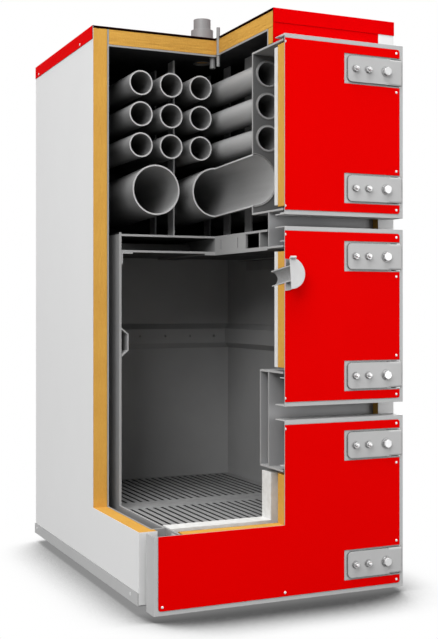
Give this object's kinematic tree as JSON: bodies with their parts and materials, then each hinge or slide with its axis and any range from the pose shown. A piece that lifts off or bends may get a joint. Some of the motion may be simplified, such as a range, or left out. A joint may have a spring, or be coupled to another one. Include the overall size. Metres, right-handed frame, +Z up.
{
  "type": "industrial boiler",
  "caption": "Cutaway fire-tube boiler: cased and insulated steel body with stacked red hinged doors, open to show tubes, water jacket, fire chamber and grate.",
  "frame": {"origin": "on the floor under the middle of the overall width and depth, with the small pipe ends and the inlet cover counted", "axes": "+Z up, -Y out of the doors, +X towards the hinge side; the cut-out quarter is at -X, -Y and up"},
  "size_m": [0.882, 1.3226, 1.913],
  "materials": {
    "panel_paint": "satin powder coat",
    "red_paint": "satin powder coat",
    "grey_paint": "satin powder coat",
    "boiler_steel": "mill finish plate",
    "pipe_steel": "drawn tube",
    "cast_iron": "as cast",
    "mineral_wool": "pressed fibre",
    "refractory_board": "matt",
    "refractory_brick": "matt, cast"
  },
  "bodies": {
    "boiler": {"air_duct": "boiler_steel", "ash_door_collar": "boiler_steel", "back_panel": "panel_paint", "base_frame": "grey_paint", "bottom_plate": "boiler_steel", "chamber_roof": "boiler_steel", "chamber_wall_back": "boiler_steel", "chamber_wall_left": "boiler_steel", "chamber_wall_right": "boiler_steel", "fire_door_collar": "boiler_steel", "flue_spigot": "pipe_steel", "front_fascia": "red_paint", "front_tube_plate": "boiler_steel", "grate_ledges": "cast_iron", "grates": "cast_iron", "hinge_lugs": "grey_paint", "insulation_back": "mineral_wool", "insulation_left": "mineral_wool", "insulation_right": "mineral_wool", "insulation_top": "mineral_wool", "large_tubes": "boiler_steel", "rear_tube_plate": "boiler_steel", "refractory_sill": "refractory_brick", "return_pipe": "pipe_steel", "reversal_box": "boiler_steel", "sensor_pocket": "pipe_steel", "side_panel_left": "panel_paint", "side_panel_right": "panel_paint", "side_rails": "grey_paint", "small_tubes": "boiler_steel", "smoke_door_collar": "boiler_steel", "stay_bars": "boiler_steel", "supply_pipe": "pipe_steel", "top_lid": "red_paint", "vent_nipple": "pipe_steel", "water_box": "boiler_steel", "water_shell_back": "boiler_steel", "water_shell_front": "boiler_steel", "water_shell_left": "boiler_steel", "water_shell_right": "boiler_steel", "water_shell_top": "boiler_steel"},
    "smoke_door": {"smoke_door_board": "refractory_board", "smoke_door_hinge_straps": "grey_paint", "smoke_door_insulation": "mineral_wool", "smoke_door_skin": "red_paint", "smoke_door_tray": "grey_paint"},
    "fire_door": {"fire_door_air_inlet": "grey_paint", "fire_door_board": "refractory_board", "fire_door_hinge_straps": "grey_paint", "fire_door_inlet_cover": "grey_paint", "fire_door_insulation": "mineral_wool", "fire_door_skin": "red_paint", "fire_door_tray": "grey_paint"},
    "ash_door": {"ash_door_hinge_straps": "grey_paint", "ash_door_insulation": "mineral_wool", "ash_door_skin": "red_paint", "ash_door_tray": "grey_paint"}
  },
  "joints": [
    {"name": "smoke_door_hinge", "type": "hinge", "parent": "boiler", "child": "smoke_door", "pos_m": [0.4, -0.59768, 1.4565], "axis": [0, 0, 1], "range_deg": [0, 105]},
    {"name": "fire_door_hinge", "type": "hinge", "parent": "boiler", "child": "fire_door", "pos_m": [0.4, -0.59768, 0.876], "axis": [0, 0, 1], "range_deg": [0, 105]},
    {"name": "ash_door_hinge", "type": "hinge", "parent": "boiler", "child": "ash_door", "pos_m": [0.4, -0.59768, 0.291], "axis": [0, 0, 1], "range_deg": [0, 105]}
  ]
}
